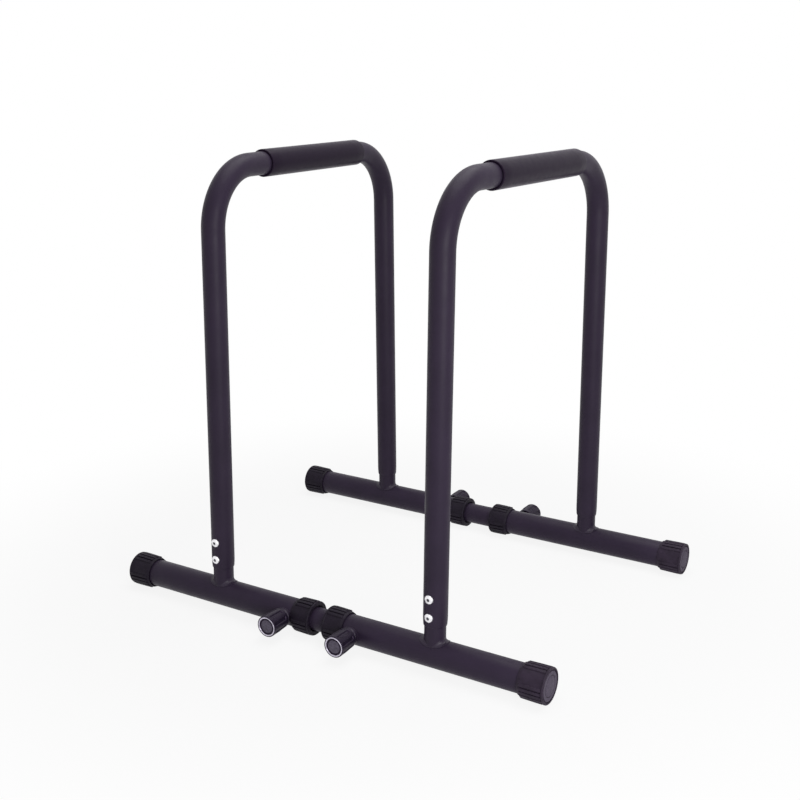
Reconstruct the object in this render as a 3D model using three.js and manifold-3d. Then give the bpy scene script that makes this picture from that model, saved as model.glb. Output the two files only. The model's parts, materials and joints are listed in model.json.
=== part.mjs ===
// Dip station: two inverted-U bars on four base tubes, joined front and rear by sliding link tubes.
// Millimetres, +Z up. The origin is on the floor under the middle of the station,
// +X runs to the right bar and +Y to the rear.

import * as THREE from 'three';
import { mergeVertices } from 'three/addons/utils/BufferGeometryUtils.js';
import Module from 'manifold-3d';

const wasm = await Module();
wasm.setup();

// Overall layout
const barHeight = 706.5;          // base tube axis up to the axis of the hand bar
const baseDepth = 543.4;          // between the front and rear base tube axes
const legSplay = 13.3;            // each leg stands this much further out at its foot than at its top
const frontSpacing = 413;         // between the two front legs, at the base tubes
const indexPitch = 30;            // between the index holes of a link tube
const widerHolesAtRear = 1;       // the rear pair is pinned this many holes wider
const footFlat = 0.8;             // cut off the ribs below, where caps and collars stand on the floor

// Tubes
const barRadius = 19;
const barWall = 1.8;
const bendRadius = 97.3;
const baseRadius = 23;
const baseWall = 2;
const baseLength = 378.5;
const legFromInnerEnd = 190;      // from the inner end of a base tube to the leg it carries
const linkRadius = 19;
const linkWall = 2;
const linkEndMargin = 20;         // link tube left beyond its last index hole
const indexHoles = 4;             // on each side of a link tube

// Legs on their stubs
const stubClearance = 0.4;
const stubWall = 2.4;
const legLift = 48;               // base tube axis up to the lower end of a leg
const stubReach = 70;             // stub inside the leg
const rolledEnd = 14;             // length of the leg that is rolled in at its lower end
const rolledDepth = 0.9;
const weldRadius = 3.4;
const weldSink = 1;               // how far the centre of a weld bead lies inside the corner

// Grips
const gripLength = 282;
const gripShift = 15;             // the grip sits towards the rear bend
const gripRadius = 22.6;
const gripEdge = 1.2;

// Screws and nuts
const screwLift = 17;             // lower end of a leg up to its lower screw
const screwPitch = 30;
const screwRadius = 4;
const screwLength = 18;
const headRadius = 7;
const headHeight = 4.2;
const headDome = 1.6;             // how much the rim of a head is lower than its top
const domeShare = 0.68;           // flat top of the head, as a share of its radius
const socketWidth = 5;            // hexagon across flats
const socketDepth = 2.6;
const nutWidth = 13;
const nutHeight = 6.5;

// Ribbed rubber end caps and collars
const capLength = 43.5;
const collarLength = 37;
const capWall = 4;
const capLip = 1;                 // thickness of the rubber at its open edge
const capLead = 7;                // length of the flare behind that edge
const capBackRadius = 27.4;       // over the ribs, just behind the flare
const capRadius = 28.5;           // over the ribs, near the closed end
const capRound = 2.2;             // rounding of the closed end
const capSmoothRadius = 27;       // the sides between the two groups of ribs
const ribDepth = 1.5;
const capRecessRadius = 20;
const capRecess = 0.8;
const ribsInGroup = 5;
const ribPitch = 14.4;            // degrees
const ribTipShare = 0.52;         // of the pitch
const collarWall = 3;
const bushLength = 31;            // sleeve of a collar inside its base tube

// Pull pins and knobs, measured outwards from the base tube axis
const pinFromInnerEnd = 48.5;     // from the inner end of a base tube to its pin
const bossRadius = 12;
const bossReach = 38;
const bossWeld = 3;               // leg of its weld
const housingRadius = 8;
const housingWall = 1.3;
const housingSink = 13;           // housing screwed into the boss
const flangeRadius = 9.6;
const flangeHeight = 2.2;
const housingNeck = 9.5;          // housing beyond its flange
const housingEnd = 4;             // thickness of its outer wall
const noseRadius = 4;
const noseChamfer = 0.8;
const noseReach = 8;              // from the tip of the nose to the shoulder
const shoulderHeight = 2.5;
const stemRadius = 3;
const stemInKnob = 6;
const springWire = 0.9;
const springTurns = 4;
const knobLength = 37.8;
const knobRadius = 17.6;
const knobSkirtRadius = 16.6;
const knobSkirtReach = 9;         // how far the skirt reaches over the boss
const knobTaper = 14;             // length of the tapered skirt
const knobRound = 1.6;
const knobFlutes = 8;
const fluteRadius = 3;
const fluteDepth = 0.8;
const ringOuter = 15.9;
const ringInner = 13.9;
const ringHeight = 1;

// Clearances and facets
const gap = 0.3;                  // between neighbouring pieces
const slideGap = 0.3;             // between sliding pieces
const drillGap = 0.4;             // around a screw or a pin in its hole
const overrun = 2;                // how far a cutter runs past what it cuts
const barSides = 20;              // bars, stubs and grips
const tubeSides = 16;             // base and link tubes, and what fits them
const knobSides = 16;
const smallSides = 12;
const screwSides = 10;
const fluteSides = 6;
const bendSteps = 5;
const weldSteps = 6;
const weldSides = 4;
const springStepsPerTurn = 6;
const springSides = 4;
const ribbedSideSteps = 5;        // on each smooth side, between the two groups of ribs

// Sizes that follow from the ones above
const barBore = barRadius - barWall;
const stubRadius = barBore - stubClearance;
const stubBore = stubRadius - stubWall;
const stubTop = legLift + stubReach;
const baseBore = baseRadius - baseWall;
const linkBore = linkRadius - linkWall;
const capBore = baseRadius + gap;
const baseHeight = capRadius - footFlat;
const bushRadius = baseBore - gap;
const bushBore = linkRadius + slideGap;
const rearSpacing = frontSpacing + widerHolesAtRear * indexPitch;
const pinInsetFromLeg = legFromInnerEnd - pinFromInnerEnd;
const firstIndexHole = frontSpacing / 2 - pinInsetFromLeg;
const linkHalfLength = firstIndexHole + (indexHoles - 1) * indexPitch + linkEndMargin;
const boreInHousing = housingRadius - housingWall;
const shoulderRadius = boreInHousing - drillGap;
const housingBottom = bossReach - housingSink;
const flangeBottom = bossReach + gap;
const flangeTop = flangeBottom + flangeHeight;
const housingTop = flangeTop + housingNeck;
const springCeiling = housingTop - housingEnd;
const noseTip = linkRadius + gap;
const shoulderBottom = noseTip + noseReach;
const shoulderTop = shoulderBottom + shoulderHeight;
const knobBottom = bossReach - knobSkirtReach;
const knobTop = knobBottom + knobLength;
const knobCavityTop = housingTop + gap;
const stemEnd = knobCavityTop + stemInKnob;

const LEFT = -1;
const RIGHT = 1;
const FRONT = -1;
const REAR = 1;
const SIDES = [{ name: 'left', sign: LEFT }, { name: 'right', sign: RIGHT }];
const ENDS = [{ name: 'front', sign: FRONT }, { name: 'rear', sign: REAR }];

const X = new THREE.Vector3(1, 0, 0);
const Y = new THREE.Vector3(0, 1, 0);
const Z = new THREE.Vector3(0, 0, 1);

// Finishes
const FINISHES = {
  powder_coat: { color: 0x38323f, roughness: 0.5, metalness: 0.2 },
  grip_foam: { color: 0x332e38, roughness: 0.85, metalness: 0 },
  cap_rubber: { color: 0x232126, roughness: 0.75, metalness: 0 },
  knob_plastic: { color: 0x1f1d24, roughness: 0.45, metalness: 0 },
  bright_steel: { color: 0xb9b9be, roughness: 0.28, metalness: 1 },
  dark_steel: { color: 0x3b3b40, roughness: 0.4, metalness: 0.9 },
};

function piece(name, geometry, finish) {
  const mesh = new THREE.Mesh(geometry, new THREE.MeshStandardMaterial(FINISHES[finish]));
  mesh.name = name;
  return mesh;
}

// Solids from geometries and back

function solidOf(geometry) {
  const bare = geometry.clone();
  bare.deleteAttribute('normal');
  bare.deleteAttribute('uv');
  const merged = mergeVertices(bare);
  const corners = merged.index.array;
  const kept = [];
  for (let i = 0; i < corners.length; i += 3) {
    const [a, b, c] = [corners[i], corners[i + 1], corners[i + 2]];
    if (a !== b && b !== c && c !== a) kept.push(a, b, c);
  }
  return new wasm.Manifold(new wasm.Mesh({
    numProp: 3,
    vertProperties: Float32Array.from(merged.attributes.position.array),
    triVerts: Uint32Array.from(kept),
  }));
}

function geometryOf(solid) {
  const mesh = solid.getMesh();
  const geometry = new THREE.BufferGeometry();
  geometry.setAttribute('position', new THREE.BufferAttribute(mesh.vertProperties, 3));
  geometry.setIndex(new THREE.BufferAttribute(mesh.triVerts, 1));
  geometry.computeVertexNormals();
  return geometry;
}

function join(...geometries) {
  return geometries.map(solidOf).reduce((whole, next) => whole.add(next));
}

// A profile is a list of [radius, distance along the axis], anticlockwise, revolved about local Y.
function revolve(profile, sides) {
  const points = profile.map(([radius, along]) => new THREE.Vector2(radius, along));
  if (profile[0][0] > 0) points.push(points[0].clone());
  return new THREE.LatheGeometry(points, sides);
}

function rod(radius, from, to, sides) {
  return revolve([[0, from], [radius, from], [radius, to], [0, to]], sides);
}

function tube(outer, inner, from, to, sides) {
  return revolve([[inner, from], [outer, from], [outer, to], [inner, to]], sides);
}

// Turns a shape made about Y so that it runs along another axis.
function along(geometry, axis) {
  return geometry.applyQuaternion(new THREE.Quaternion().setFromUnitVectors(Y, axis));
}

function hexagon(acrossFlats, from, to) {
  const corner = acrossFlats / 2 / Math.cos(Math.PI / 6);
  return rod(corner, from, to, 6);
}

function polygon(radius, sides) {
  const shape = new THREE.Shape();
  for (let i = 0; i < sides; i += 1) {
    const angle = (2 * Math.PI * i) / sides;
    const point = [radius * Math.cos(angle), radius * Math.sin(angle)];
    if (i === 0) shape.moveTo(...point);
    else shape.lineTo(...point);
  }
  shape.closePath();
  return shape;
}

function sweep(curve, section, steps) {
  return new THREE.ExtrudeGeometry(section, { steps, extrudePath: curve, curveSegments: 1 });
}

// Places

function legFoot(side, end) {
  const spacing = end === FRONT ? frontSpacing : rearSpacing;
  return new THREE.Vector3((side * spacing) / 2, (end * baseDepth) / 2, baseHeight);
}

// The frame of a U bar: local Y runs level from its front leg to its rear leg, and the origin lies
// midway between their feet. The bar is toed in or out where the two ends are set to unlike widths.
function barPlace(side) {
  const front = legFoot(side, FRONT);
  const rear = legFoot(side, REAR);
  const middle = front.clone().add(rear).divideScalar(2);
  const toe = Math.atan2(front.x - rear.x, rear.y - front.y);
  return new THREE.Matrix4().makeRotationZ(toe).setPosition(middle);
}

// In that frame, the angle of a leg to the upright.
const halfFeet = Math.hypot(baseDepth, (rearSpacing - frontSpacing) / 2) / 2;
const legLean = Math.atan2(legSplay, barHeight);

// Local Z runs up the leg, local minus Y points out of the station, and the origin is on the base axis.
function legInBar(end) {
  const place = new THREE.Matrix4().makeTranslation(0, end * halfFeet, 0);
  place.multiply(new THREE.Matrix4().makeRotationX(end * legLean));
  return place.multiply(new THREE.Matrix4().makeRotationZ(end === FRONT ? 0 : Math.PI));
}

function legPlace(side, end) {
  return barPlace(side).multiply(legInBar(end));
}

function baseInnerEnd(side, end) {
  return Math.abs(legFoot(side, end).x) - legFromInnerEnd;
}

// Local Y points out of the station along a pull pin, and the origin is on the base axis.
function pinPlace(side, end) {
  const x = side * (baseInnerEnd(side, end) + pinFromInnerEnd);
  const place = new THREE.Matrix4().makeRotationZ(end === FRONT ? Math.PI : 0);
  return place.setPosition(x, (end * baseDepth) / 2, baseHeight);
}

// U bars

// The axis of a U bar in its own frame: straight stretches with no points between their ends, and
// two bends of equal steps.
class BarLine extends THREE.Curve {
  constructor() {
    super();
    const straightHalf = halfFeet - legSplay - bendRadius * Math.tan((Math.PI / 2 - legLean) / 2);
    const turn = Math.PI / 2 - legLean;
    const top = barHeight - bendRadius;
    const onLeg = (end, height) => new THREE.Vector3(0, 0, height).applyMatrix4(legInBar(end));
    this.stations = [onLeg(FRONT, legLift), onLeg(FRONT, legLift + rolledEnd)];
    for (const end of [FRONT, REAR]) {
      for (let i = 0; i <= bendSteps; i += 1) {
        const angle = (turn * (end === FRONT ? bendSteps - i : i)) / bendSteps;
        const y = end * (straightHalf + bendRadius * Math.sin(angle));
        this.stations.push(new THREE.Vector3(0, y, top + bendRadius * Math.cos(angle)));
      }
    }
    this.stations.push(onLeg(REAR, legLift + rolledEnd), onLeg(REAR, legLift));
  }

  getPoint(t) {
    const place = t * (this.stations.length - 1);
    const first = Math.min(Math.floor(place), this.stations.length - 2);
    return this.stations[first].clone().lerp(this.stations[first + 1], place - first);
  }

  // At a station the line runs midway between its two neighbouring stretches.
  getTangent(t) {
    const at = Math.round(t * (this.stations.length - 1));
    const here = this.stations[at];
    const before = this.stations[Math.max(at - 1, 0)];
    const after = this.stations[Math.min(at + 1, this.stations.length - 1)];
    const arriving = here.clone().sub(before).normalize();
    return arriving.add(after.clone().sub(here).normalize()).normalize();
  }

  getUtoTmapping(u) {
    return u;
  }
}

function screwHeights() {
  return [legLift + screwLift, legLift + screwLift + screwPitch];
}

// Both screw holes through the outward wall of a leg or stub, in the frame of the leg.
function screwDrill() {
  const outwards = Y.clone().negate();
  const drills = screwHeights().map((height) => {
    const drill = along(rod(screwRadius + drillGap, 0, barRadius + overrun, screwSides), outwards);
    return drill.translate(0, 0, height);
  });
  return geometryOf(join(...drills));
}

// The lower ends of the legs are rolled in a little, so that they close on the stubs.
function rollEnds(geometry, line) {
  const points = geometry.attributes.position;
  const ends = [line.stations[0], line.stations[line.stations.length - 1]];
  const point = new THREE.Vector3();
  for (let i = 0; i < points.count; i += 1) {
    point.fromBufferAttribute(points, i);
    for (const end of ends) {
      const across = point.clone().sub(end);
      const outside = across.length() > (barRadius + barBore) / 2;
      if (outside && across.length() < barRadius + gap) {
        point.copy(end).add(across.setLength(barRadius - rolledDepth));
        points.setXYZ(i, point.x, point.y, point.z);
      }
    }
  }
  return geometry;
}

function uBar(side) {
  const line = new BarLine();
  const section = polygon(barRadius, barSides);
  section.holes.push(polygon(barBore, barSides));
  let bar = solidOf(rollEnds(sweep(line, section, line.stations.length - 1), line));
  for (const end of [FRONT, REAR]) {
    bar = bar.subtract(solidOf(screwDrill().applyMatrix4(legInBar(end))));
  }
  return geometryOf(bar).applyMatrix4(barPlace(side));
}

function grip(side) {
  const half = gripLength / 2;
  const inner = barRadius + gap;
  const profile = [
    [inner, -half],
    [gripRadius - gripEdge, -half],
    [gripRadius, -half + gripEdge],
    [gripRadius, half - gripEdge],
    [gripRadius - gripEdge, half],
    [inner, half],
  ];
  return revolve(profile, barSides).translate(0, gripShift, barHeight).applyMatrix4(barPlace(side));
}

// Base tubes with their stub and boss

// The line on which a branch tube of radius r meets a run tube, half way round the branch.
class SaddleLine extends THREE.Curve {
  constructor(branch, run, from) {
    super();
    this.branch = branch;
    this.run = run;
    this.from = from;
  }

  getPoint(t) {
    const angle = this.from + Math.PI * t;
    const x = this.branch * Math.cos(angle);
    const y = this.branch * Math.sin(angle);
    return new THREE.Vector3(x, y, Math.sqrt(this.run ** 2 - y ** 2));
  }
}

// The weld bead round a branch that stands on a tube along X, as two halves that overlap a little.
function weldBead(branch, beadRadius) {
  const halves = [0, Math.PI].map((from) => {
    const line = new SaddleLine(branch + beadRadius - weldSink, baseRadius, from);
    return sweep(line, polygon(beadRadius, weldSides), weldSteps);
  });
  return join(...halves);
}

function baseFrame(side, end) {
  const inner = baseInnerEnd(side, end);
  const axisPoint = [0, (end * baseDepth) / 2, baseHeight];
  const sideways = X.clone().multiplyScalar(side);
  const onAxis = (geometry) => along(geometry, sideways).translate(...axisPoint);
  const foot = legFoot(side, end);

  const run = onAxis(rod(baseRadius, inner, inner + baseLength, tubeSides));
  const bore = onAxis(rod(baseBore, inner - overrun, inner + baseLength + overrun, tubeSides));

  const leg = legPlace(side, end);
  const stub = along(rod(stubRadius, 0, stubTop, barSides), Z).applyMatrix4(leg);
  const stubHollow = along(rod(stubBore, baseRadius + gap, stubTop + overrun, barSides), Z);
  const stubBead = geometryOf(weldBead(stubRadius, weldRadius)).translate(foot.x, foot.y, foot.z);

  const pin = pinPlace(side, end);
  const boss = revolve([
    [0, baseBore],
    [bossRadius + bossWeld, baseBore],
    [bossRadius, baseRadius + bossWeld],
    [bossRadius, bossReach],
    [0, bossReach],
  ], smallSides).applyMatrix4(pin);
  const bossHollow = rod(housingRadius + gap, baseRadius, bossReach + overrun, smallSides);
  const noseHole = rod(noseRadius + drillGap, 0, baseRadius + overrun, smallSides);

  let frame = join(run, stub, stubBead, boss);
  frame = frame.subtract(solidOf(bore));
  frame = frame.subtract(solidOf(stubHollow.applyMatrix4(leg)));
  frame = frame.subtract(solidOf(bossHollow.applyMatrix4(pin)));
  frame = frame.subtract(solidOf(noseHole.applyMatrix4(pin)));
  return geometryOf(frame.subtract(solidOf(screwDrill().applyMatrix4(leg))));
}

// Ribbed caps and collars

// One round of points: two groups of ribs, top and bottom, and smooth sides, none past the limit.
function ribbedRound(limit, height) {
  const points = [];
  const pitch = THREE.MathUtils.degToRad(ribPitch);
  const grooveRadius = capRadius - ribDepth;
  const add = (radius, angle) => {
    const reach = Math.min(radius, limit);
    points.push(new THREE.Vector3(reach * Math.cos(angle), height, reach * Math.sin(angle)));
  };
  for (const middle of [Math.PI / 2, (3 * Math.PI) / 2]) {
    const start = middle - (ribsInGroup * pitch) / 2;
    for (let rib = 0; rib < ribsInGroup; rib += 1) {
      const left = start + rib * pitch;
      const tip = (pitch * ribTipShare) / 2;
      add(rib > 0 ? grooveRadius : capSmoothRadius, left);
      add(capRadius, left + pitch / 2 - tip);
      add(capRadius, left + pitch / 2 + tip);
    }
    const sideStart = start + ribsInGroup * pitch;
    const sideSweep = Math.PI - ribsInGroup * pitch;
    for (let i = 0; i < ribbedSideSteps; i += 1) {
      add(capSmoothRadius, sideStart + (sideSweep * i) / ribbedSideSteps);
    }
  }
  return points;
}

// Joins rounds of points into a closed skin, with a flat fan over the first and the last.
function loft(rounds) {
  const count = rounds[0].length;
  const positions = [];
  const face = (...corners) => corners.forEach((corner) => positions.push(corner.x, corner.y, corner.z));
  const middleOf = (round) => {
    const middle = new THREE.Vector3();
    round.forEach((point) => middle.add(point));
    return middle.divideScalar(round.length);
  };
  for (let i = 0; i < count; i += 1) {
    const next = (i + 1) % count;
    for (let level = 1; level < rounds.length; level += 1) {
      const [low, high] = [rounds[level - 1], rounds[level]];
      face(low[i], high[i], high[next]);
      face(low[i], high[next], low[next]);
    }
    const [first, last] = [rounds[0], rounds[rounds.length - 1]];
    face(middleOf(first), first[i], first[next]);
    face(middleOf(last), last[next], last[i]);
  }
  const geometry = new THREE.BufferGeometry();
  geometry.setAttribute('position', new THREE.Float32BufferAttribute(positions, 3));
  return geometry;
}

// The outside that caps and collars share: open edge at 0, closed end at its length, flat below.
function ribbedBlock(length) {
  const skin = loft([
    ribbedRound(capBore + capLip, 0),
    ribbedRound(capBackRadius, capLead),
    ribbedRound(capRadius, length - capRound),
    ribbedRound(capRadius - capRound, length),
  ]);
  const width = 2 * capRadius;
  const depth = footFlat + overrun;
  const floor = new THREE.BoxGeometry(width, length + 2 * overrun, depth);
  floor.translate(0, length / 2, -baseHeight - depth / 2);
  return solidOf(skin).subtract(solidOf(floor));
}

function capPlace(side, end, outward, openEdge) {
  const quarter = outward * side > 0 ? -Math.PI / 2 : Math.PI / 2;
  const place = new THREE.Matrix4().makeRotationZ(quarter);
  return place.setPosition(side * openEdge, (end * baseDepth) / 2, baseHeight);
}

function endCap(side, end) {
  const tubeEnd = baseInnerEnd(side, end) + baseLength;
  const pocket = capLength - capWall;
  let cap = ribbedBlock(capLength);
  cap = cap.subtract(solidOf(rod(capBore, -overrun, pocket, tubeSides)));
  cap = cap.subtract(solidOf(rod(capRecessRadius, capLength - capRecess, capLength + overrun, tubeSides)));
  return geometryOf(cap).applyMatrix4(capPlace(side, end, 1, tubeEnd + gap - pocket));
}

function collar(side, end) {
  const tubeEnd = baseInnerEnd(side, end);
  const pocket = collarLength - collarWall;
  const slot = revolve([
    [bushRadius, pocket - bushLength],
    [0, pocket - bushLength],
    [0, -overrun],
    [capBore, -overrun],
    [capBore, pocket],
    [bushRadius, pocket],
  ], tubeSides);
  let body = ribbedBlock(collarLength);
  body = body.subtract(solidOf(slot));
  body = body.subtract(solidOf(rod(bushBore, -overrun, collarLength + overrun, tubeSides)));
  return geometryOf(body).applyMatrix4(capPlace(side, end, -1, tubeEnd - gap + pocket));
}

// Link tubes

function linkTube(end) {
  const shift = end === REAR ? (-widerHolesAtRear * indexPitch) / 2 : 0;
  const length = along(tube(linkRadius, linkBore, -linkHalfLength, linkHalfLength, tubeSides), X);
  let link = solidOf(length);
  for (const side of [LEFT, RIGHT]) {
    for (let i = 0; i < indexHoles; i += 1) {
      const drill = rod(noseRadius + drillGap, 0, linkRadius + overrun, screwSides);
      const x = side * (firstIndexHole + i * indexPitch);
      link = link.subtract(solidOf(along(drill, Y.clone().multiplyScalar(end)).translate(x, 0, 0)));
    }
  }
  return geometryOf(link).translate(shift, (end * baseDepth) / 2, baseHeight);
}

// Screws and nuts, made about local Y with the tip at the far end, facing out at minus Y

function screw() {
  const seat = barRadius + gap;
  const top = seat + headHeight;
  const rim = top - headDome;
  const body = revolve([
    [0, seat - screwLength],
    [screwRadius, seat - screwLength],
    [screwRadius, seat],
    [headRadius, seat],
    [headRadius, rim],
    [headRadius * domeShare, top],
    [0, top],
  ], screwSides);
  const socket = hexagon(socketWidth, top - socketDepth, top + overrun);
  return geometryOf(solidOf(body).subtract(solidOf(socket)));
}

// The nut is welded inside the stub, so its back is shaped to the wall.
function nut(side, end, height) {
  const back = stubBore - gap;
  const block = hexagon(nutWidth, back - nutHeight, stubRadius);
  const hole = rod(screwRadius + gap, 0, barRadius, screwSides);
  const outwards = Y.clone().negate();
  const shape = along(block, outwards).translate(0, 0, height);
  const wall = along(rod(back, legLift, stubTop, barSides), Z);
  let solid = solidOf(shape).intersect(solidOf(wall));
  solid = solid.subtract(solidOf(along(hole, outwards).translate(0, 0, height)));
  return geometryOf(solid).applyMatrix4(legPlace(side, end));
}

// Pull pins

function pinBody() {
  return revolve([
    [0, noseTip],
    [noseRadius - noseChamfer, noseTip],
    [noseRadius, noseTip + noseChamfer],
    [noseRadius, shoulderBottom],
    [shoulderRadius, shoulderBottom],
    [shoulderRadius, shoulderTop],
    [stemRadius, shoulderTop],
    [stemRadius, stemEnd],
    [0, stemEnd],
  ], smallSides);
}

function pinHousing() {
  const hole = stemRadius + drillGap;
  return revolve([
    [boreInHousing, housingBottom],
    [housingRadius, housingBottom],
    [housingRadius, flangeBottom],
    [flangeRadius, flangeBottom],
    [flangeRadius, flangeTop],
    [housingRadius, flangeTop],
    [housingRadius, housingTop],
    [hole, housingTop],
    [hole, springCeiling],
    [boreInHousing, springCeiling],
  ], smallSides);
}

class Helix extends THREE.Curve {
  constructor(radius, from, to, turns) {
    super();
    Object.assign(this, { radius, from, to, turns });
  }

  getPoint(t) {
    const angle = 2 * Math.PI * this.turns * t;
    const height = this.from + (this.to - this.from) * t;
    return new THREE.Vector3(this.radius * Math.cos(angle), height, this.radius * Math.sin(angle));
  }
}

function pinSpring() {
  const wire = springWire / 2;
  const radius = (stemRadius + boreInHousing) / 2;
  const seat = wire + gap;
  const coil = new Helix(radius, shoulderTop + seat, springCeiling - seat, springTurns);
  return sweep(coil, polygon(wire, springSides), springTurns * springStepsPerTurn);
}

// The skirt covers the boss and the housing, and the stem of the pin ends in a blind hole above them.
function knob() {
  const ringFloor = knobTop - ringHeight - gap;
  let body = solidOf(revolve([
    [0, knobBottom],
    [knobSkirtRadius, knobBottom],
    [knobRadius, knobBottom + knobTaper],
    [knobRadius, knobTop - knobRound],
    [knobRadius - knobRound / 2, knobTop],
    [0, knobTop],
  ], knobSides));
  const skirtBore = bossRadius + slideGap;
  body = body.subtract(solidOf(rod(skirtBore, knobBottom - overrun, knobCavityTop, smallSides)));
  body = body.subtract(solidOf(rod(stemRadius + gap, knobBottom, stemEnd + gap, smallSides)));
  const ringSeat = tube(ringOuter + gap, ringInner - gap, ringFloor, knobTop + overrun, knobSides);
  body = body.subtract(solidOf(ringSeat));
  for (let i = 0; i < knobFlutes; i += 1) {
    const angle = (2 * Math.PI * (i + 1 / 2)) / knobFlutes;
    const reach = knobRadius + fluteRadius - fluteDepth;
    const cutter = rod(fluteRadius, knobBottom - overrun, knobTop - knobRound - fluteRadius, fluteSides);
    body = body.subtract(solidOf(cutter.translate(reach * Math.sin(angle), 0, reach * Math.cos(angle))));
  }
  return geometryOf(body);
}

function knobRing() {
  return tube(ringOuter, ringInner, knobTop - ringHeight, knobTop, knobSides);
}

// The whole station

const station = new THREE.Group();

for (const side of SIDES) {
  station.add(piece(`${side.name}_u_bar`, uBar(side.sign), 'powder_coat'));
  station.add(piece(`${side.name}_grip`, grip(side.sign), 'grip_foam'));
}

for (const end of ENDS) {
  station.add(piece(`${end.name}_link`, linkTube(end.sign), 'powder_coat'));
  for (const side of SIDES) {
    const corner = `${end.name}_${side.name}`;
    station.add(piece(`${corner}_base`, baseFrame(side.sign, end.sign), 'powder_coat'));
    station.add(piece(`${corner}_end_cap`, endCap(side.sign, end.sign), 'cap_rubber'));
    station.add(piece(`${corner}_collar`, collar(side.sign, end.sign), 'cap_rubber'));

    ['lower', 'upper'].forEach((level, index) => {
      const height = screwHeights()[index];
      const fixing = along(screw(), Y.clone().negate()).translate(0, 0, height);
      fixing.applyMatrix4(legPlace(side.sign, end.sign));
      station.add(piece(`${corner}_${level}_screw`, fixing, 'bright_steel'));
      station.add(piece(`${corner}_${level}_nut`, nut(side.sign, end.sign, height), 'dark_steel'));
    });

    const latch = new THREE.Group();
    latch.applyMatrix4(pinPlace(side.sign, end.sign));
    latch.add(piece(`${corner}_pin_housing`, pinHousing(), 'dark_steel'));
    latch.add(piece(`${corner}_pin`, pinBody(), 'bright_steel'));
    latch.add(piece(`${corner}_pin_spring`, pinSpring(), 'bright_steel'));
    latch.add(piece(`${corner}_knob`, knob(), 'knob_plastic'));
    latch.add(piece(`${corner}_knob_ring`, knobRing(), 'bright_steel'));
    station.add(latch);
  }
}

export default station;
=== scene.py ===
"""Dip station, dressed: bars, grips, base tubes, caps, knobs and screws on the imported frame."""

import json
import math

import bmesh
import bpy
from mathutils import Matrix, Vector


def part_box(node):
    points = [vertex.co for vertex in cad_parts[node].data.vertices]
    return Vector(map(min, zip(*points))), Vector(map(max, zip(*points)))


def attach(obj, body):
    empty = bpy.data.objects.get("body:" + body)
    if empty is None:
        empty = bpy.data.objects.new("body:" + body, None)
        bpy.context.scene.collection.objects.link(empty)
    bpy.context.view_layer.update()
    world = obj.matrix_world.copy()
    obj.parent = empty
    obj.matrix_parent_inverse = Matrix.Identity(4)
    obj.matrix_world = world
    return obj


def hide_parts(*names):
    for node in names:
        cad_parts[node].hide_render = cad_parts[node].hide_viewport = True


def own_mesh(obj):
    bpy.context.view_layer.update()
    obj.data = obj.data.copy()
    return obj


bl_info = {
    "name": "Dip Station",
    "version": (1, 0, 0),
    "blender": (4, 5, 0),
    "location": "3D View > Sidebar > Dip Station",
    "description": "Dresses the packed frame of a dip station with finished pieces",
    "category": "Object",
}

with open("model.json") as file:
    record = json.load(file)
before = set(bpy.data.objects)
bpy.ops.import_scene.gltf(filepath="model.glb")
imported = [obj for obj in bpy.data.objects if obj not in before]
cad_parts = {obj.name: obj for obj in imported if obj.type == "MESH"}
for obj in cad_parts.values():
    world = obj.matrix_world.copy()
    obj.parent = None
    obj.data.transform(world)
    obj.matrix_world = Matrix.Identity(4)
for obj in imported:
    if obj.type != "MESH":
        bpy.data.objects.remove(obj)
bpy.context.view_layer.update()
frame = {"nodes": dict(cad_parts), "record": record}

MM = 0.001
SIDES = {"left": -1, "right": 1}
ENDS = {"front": -1, "rear": 1}
CORNERS = [(end, side) for end in ENDS for side in SIDES]

# Play between neighbouring pieces
PLAY = 0.3 * MM

# Sides of a round tube, and of the moulded rubber, whose ribs and grooves are whole sides wide
TUBE_SIDES = 64
RUBBER_SIDES = 200


# What the frame gives

def lowest(node):
    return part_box(node)[0]


def highest(node):
    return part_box(node)[1]


# Sizes and colours

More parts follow.
